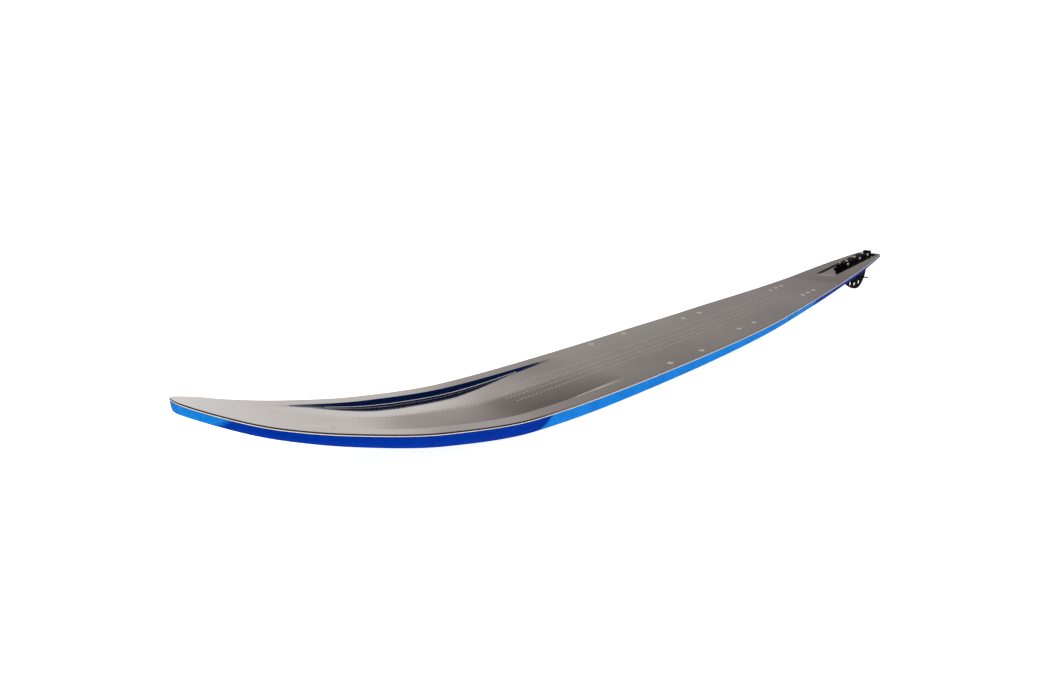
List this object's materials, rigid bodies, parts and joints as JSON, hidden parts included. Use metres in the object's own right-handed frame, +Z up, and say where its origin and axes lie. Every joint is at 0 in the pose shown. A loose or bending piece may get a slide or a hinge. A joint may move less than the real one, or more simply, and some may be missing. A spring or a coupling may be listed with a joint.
{
  "type": "slalom water ski",
  "caption": "Slalom water ski with a sunk channel in its front deck, bare binding inserts, and an adjustable tail fin in a clamp, with a wing.",
  "frame": {"origin": "middle of the bounding box at the level of the floor, with the ski resting on its base and its fin", "axes": "+X along the ski from the tip to the tail, +Y to the right of a rider who faces the tip, +Z up"},
  "size_m": [1.7058, 0.188, 0.1187],
  "materials": {
    "carbon_deck": "satin",
    "blue_base": "gloss",
    "cream_seam": "satin",
    "foam": "matte",
    "hard_block": "matte",
    "brass": "satin",
    "black_anodised": "satin",
    "stainless": "satin",
    "black_steel": "satin"
  },
  "bodies": {
    "ski": {"base_skin": "blue_base", "deck_skin": "carbon_deck", "foam_core": "foam", "edge_seam": "cream_seam", "fin_tray": "carbon_deck", "insert_block_front": "hard_block", "insert_block_heel": "hard_block", "insert_block_rear": "hard_block", "insert_1_left": "brass", "insert_1_right": "brass", "insert_2_left": "brass", "insert_2_right": "brass", "insert_3_left": "brass", "insert_3_right": "brass", "insert_4_left": "brass", "insert_4_right": "brass", "insert_5_left": "brass", "insert_5_right": "brass", "insert_6_left": "brass", "insert_6_right": "brass", "insert_7_left": "brass", "insert_7_right": "brass", "clamp_rail_left": "black_anodised", "clamp_rail_right": "black_anodised", "mount_screw_1_left": "black_steel", "mount_screw_1_right": "black_steel", "mount_screw_2_left": "black_steel", "mount_screw_2_right": "black_steel", "mount_screw_3_left": "black_steel", "mount_screw_3_right": "black_steel", "mount_screw_4_left": "black_steel", "mount_screw_4_right": "black_steel", "clamp_screw_1": "stainless", "clamp_screw_2": "stainless", "clamp_screw_3": "stainless", "clamp_nut_1": "stainless", "clamp_nut_2": "stainless", "clamp_nut_3": "stainless", "front_bracket": "black_anodised"},
    "thumb": {"thumb_screw": "black_anodised", "thumb_collar": "stainless"},
    "carriage": {"depth_carrier": "black_anodised"},
    "front_depth_screw": {"depth_screw_1": "stainless"},
    "middle_depth_screw": {"depth_screw_2": "stainless"},
    "rear_depth_screw": {"depth_screw_3": "stainless"},
    "fin_blade": {"fin": "black_anodised", "depth_nut_1": "brass", "depth_nut_2": "brass", "depth_nut_3": "brass"},
    "wing": {"wing_left": "black_anodised", "wing_right": "black_anodised", "wing_screw_front": "black_steel", "wing_screw_rear": "black_steel", "wing_nut_front": "black_steel", "wing_nut_rear": "black_steel"}
  },
  "joints": [
    {"name": "fin_fore_aft", "type": "slide", "parent": "ski", "child": "carriage", "axis": [0.9962, 0, 0.0866], "range_m": [-0.003, 0.003]},
    {"name": "thumb_spin", "type": "hinge", "parent": "ski", "child": "thumb", "pos_m": [0.6519, 0, 0.06599], "axis": [0.9962, 0, 0.0866], "range_deg": [-1545, 1545]},
    {"name": "fin_depth", "type": "slide", "parent": "carriage", "child": "fin_blade", "axis": [-0.0866, 0, 0.9962], "range_m": [-0.0015, 0.0015]},
    {"name": "front_depth_spin", "type": "hinge", "parent": "carriage", "child": "front_depth_screw", "pos_m": [0.69887, 0, 0.0776], "axis": [-0.0866, 0, 0.9962], "range_deg": [-1082, 1082]},
    {"name": "middle_depth_spin", "type": "hinge", "parent": "carriage", "child": "middle_depth_screw", "pos_m": [0.74619, 0, 0.08171], "axis": [-0.0866, 0, 0.9962], "range_deg": [-1082, 1082]},
    {"name": "rear_depth_spin", "type": "hinge", "parent": "carriage", "child": "rear_depth_screw", "pos_m": [0.797, 0, 0.08613], "axis": [-0.0866, 0, 0.9962], "range_deg": [-1082, 1082]},
    {"name": "wing_angle", "type": "hinge", "parent": "fin_blade", "child": "wing", "pos_m": [0.75181, 0, 0.04014], "axis": [0, 1, 0], "range_deg": [-8, 8]}
  ],
  "couplings": [
    {"joint": "thumb_spin", "follows": "fin_fore_aft", "rad_per_m": -8976},
    {"joint": "front_depth_spin", "follows": "fin_depth", "rad_per_m": -12566},
    {"joint": "middle_depth_spin", "follows": "fin_depth", "rad_per_m": -12566},
    {"joint": "rear_depth_spin", "follows": "fin_depth", "rad_per_m": -12566}
  ]
}
